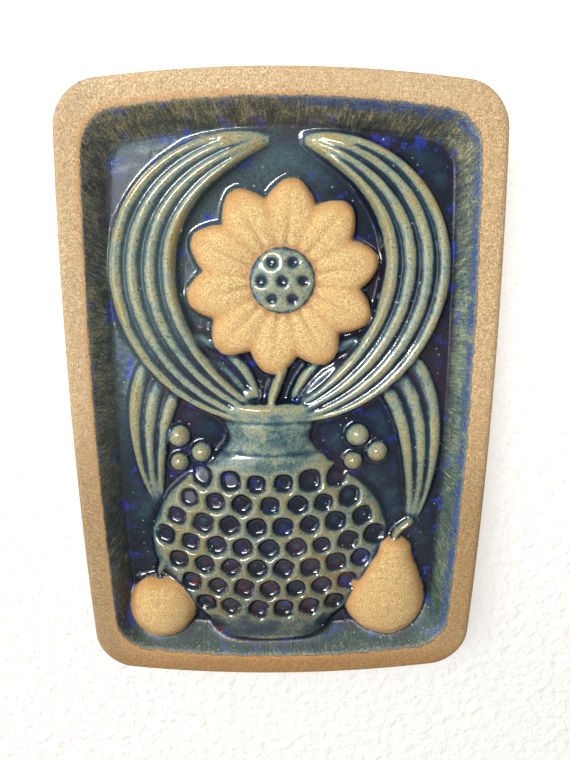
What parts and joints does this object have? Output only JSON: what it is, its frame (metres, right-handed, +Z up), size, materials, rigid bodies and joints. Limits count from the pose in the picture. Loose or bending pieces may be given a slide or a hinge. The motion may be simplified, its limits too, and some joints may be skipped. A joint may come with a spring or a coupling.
{
  "type": "decorative wall plate",
  "caption": "rectangular stoneware dish with bowed sides that hangs on a wall, a bare rim round a sunk, dark glazed relief of a vase, flower, leaves and fruit",
  "frame": {"origin": "where the plate hangs: on the flat back of the foot's upper bar, in the plane of the wall", "axes": "+Z up as it hangs, -Y out of the wall to the viewer, +X to the viewer's right"},
  "size_m": [0.16, 0.026, 0.236],
  "materials": {
    "glazed_stoneware": "dark olive to navy gloss glaze in the sunk field, bare sandy stoneware on the rim, flower and fruit"
  },
  "bodies": {
    "root": {"wall_plate": "glazed_stoneware"}
  },
  "joints": []
}
